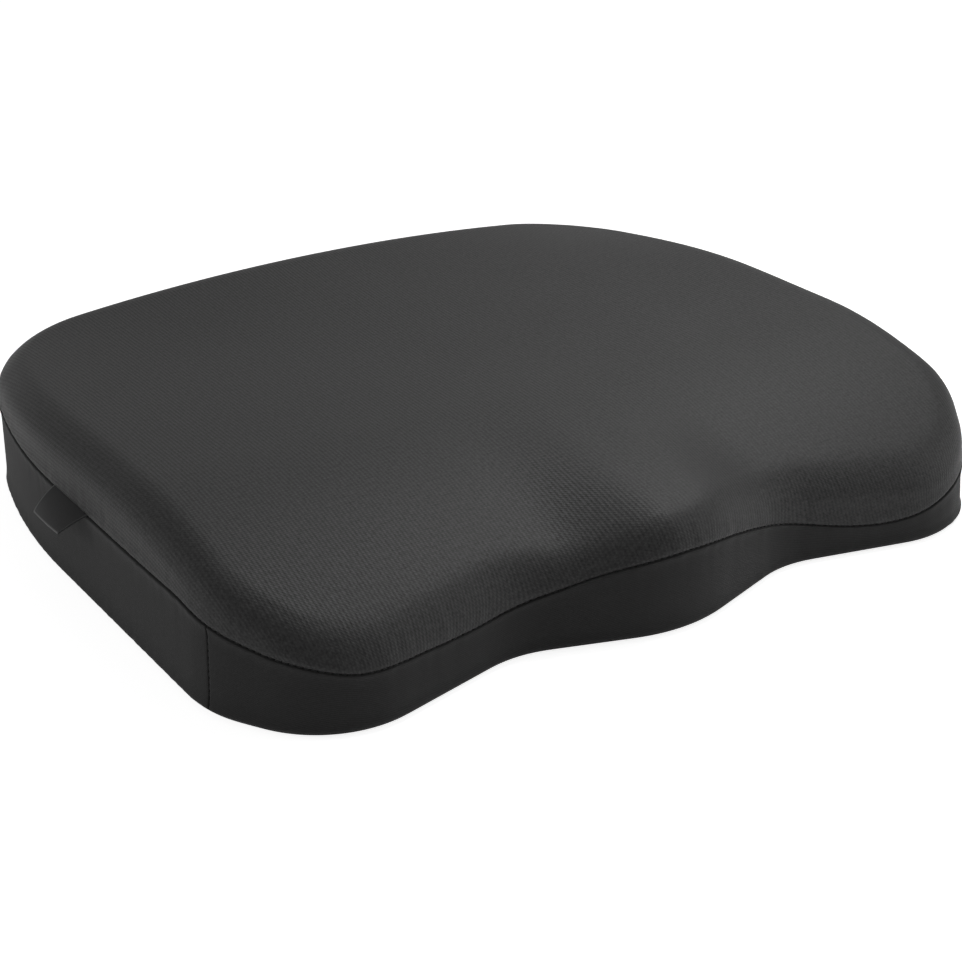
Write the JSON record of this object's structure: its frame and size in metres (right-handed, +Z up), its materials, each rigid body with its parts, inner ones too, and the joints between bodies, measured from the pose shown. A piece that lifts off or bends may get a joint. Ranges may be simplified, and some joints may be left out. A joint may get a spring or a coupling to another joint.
{
  "type": "seat cushion",
  "caption": "Contoured foam seat cushion with a scalloped front edge, rolled top, darker side bands, side tag and a zipped cover at the rear.",
  "frame": {"origin": "on the surface that the cushion lies on, under the middle of its plan outline", "axes": "+Z up, -Y towards the scalloped front edge, +Y towards the straight rear edge with the zip, -X the side with the tag"},
  "size_m": [0.444, 0.3696, 0.0789],
  "materials": {
    "foam": "open-cell memory foam, matt",
    "liner_knit": "thin white stretch knit",
    "top_twill": "dark charcoal fine diagonal twill, soft sheen",
    "band_knit": "darker charcoal plain knit, matt",
    "base_cloth": "black plain weave base cloth, matt",
    "grip_rubber": "printed grip dots, satin",
    "thread": "charcoal polyester thread",
    "zip_tape": "black woven zip tape",
    "zip_coil": "black nylon coil, satin",
    "zip_metal": "black enamelled zinc, satin",
    "tag_ribbon": "dark grey woven ribbon, blank",
    "label_satin": "white satin ribbon, blank"
  },
  "bodies": {
    "cushion": {"foam_core": "foam", "inner_liner": "liner_knit", "top_panel": "top_twill", "front_band": "band_knit", "left_band": "band_knit", "right_band": "band_knit", "rear_band_upper": "band_knit", "rear_band_lower": "band_knit", "bottom_panel": "base_cloth", "grip_dots": "grip_rubber", "top_seam_thread": "thread", "bottom_seam_thread": "thread", "band_join_threads": "thread", "zip_seam_threads": "thread", "zip_tape_upper": "zip_tape", "zip_tape_lower": "zip_tape", "zip_coil_upper": "zip_coil", "zip_coil_lower": "zip_coil", "zip_top_stops": "zip_metal", "zip_bottom_stop": "zip_metal", "side_tag": "tag_ribbon", "care_label": "label_satin"},
    "slider": {"zip_slider": "zip_metal"},
    "pull": {"zip_pull": "zip_metal"}
  },
  "joints": [
    {"name": "zip_slide", "type": "slide", "parent": "cushion", "child": "slider", "axis": [1, 0, 0], "range_m": [-0.227, 0]},
    {"name": "pull_swing", "type": "hinge", "parent": "slider", "child": "pull", "pos_m": [0.1135, 0.18505, 0.024], "axis": [0, 0, -1], "range_deg": [0, 170]}
  ]
}
